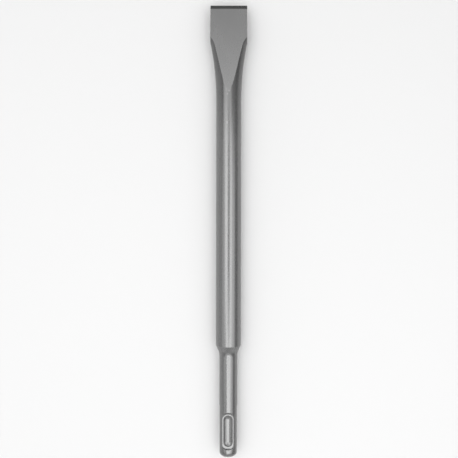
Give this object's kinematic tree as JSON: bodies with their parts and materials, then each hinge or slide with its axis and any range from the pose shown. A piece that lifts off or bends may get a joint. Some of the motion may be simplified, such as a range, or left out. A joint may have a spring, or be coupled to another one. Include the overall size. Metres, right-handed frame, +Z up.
{
  "type": "sds flat chisel",
  "caption": "Flat chisel for a rotary hammer drill: round steel body, flared flat blade with a bevelled edge, and a slotted shank with closed lock recesses.",
  "frame": {"origin": "on the floor under the middle of the tool's length, with the tool lying on its round body", "axes": "+Y along the tool towards the cutting edge, +X across the blade, +Z up, square to the tool's axis and out of the blade's upper face"},
  "size_m": [0.0204, 0.25, 0.014],
  "materials": {
    "steel": "satin grey hardened steel, ground on the blade's faces and bevels"
  },
  "bodies": {
    "root": {"chisel": "steel"}
  },
  "joints": []
}
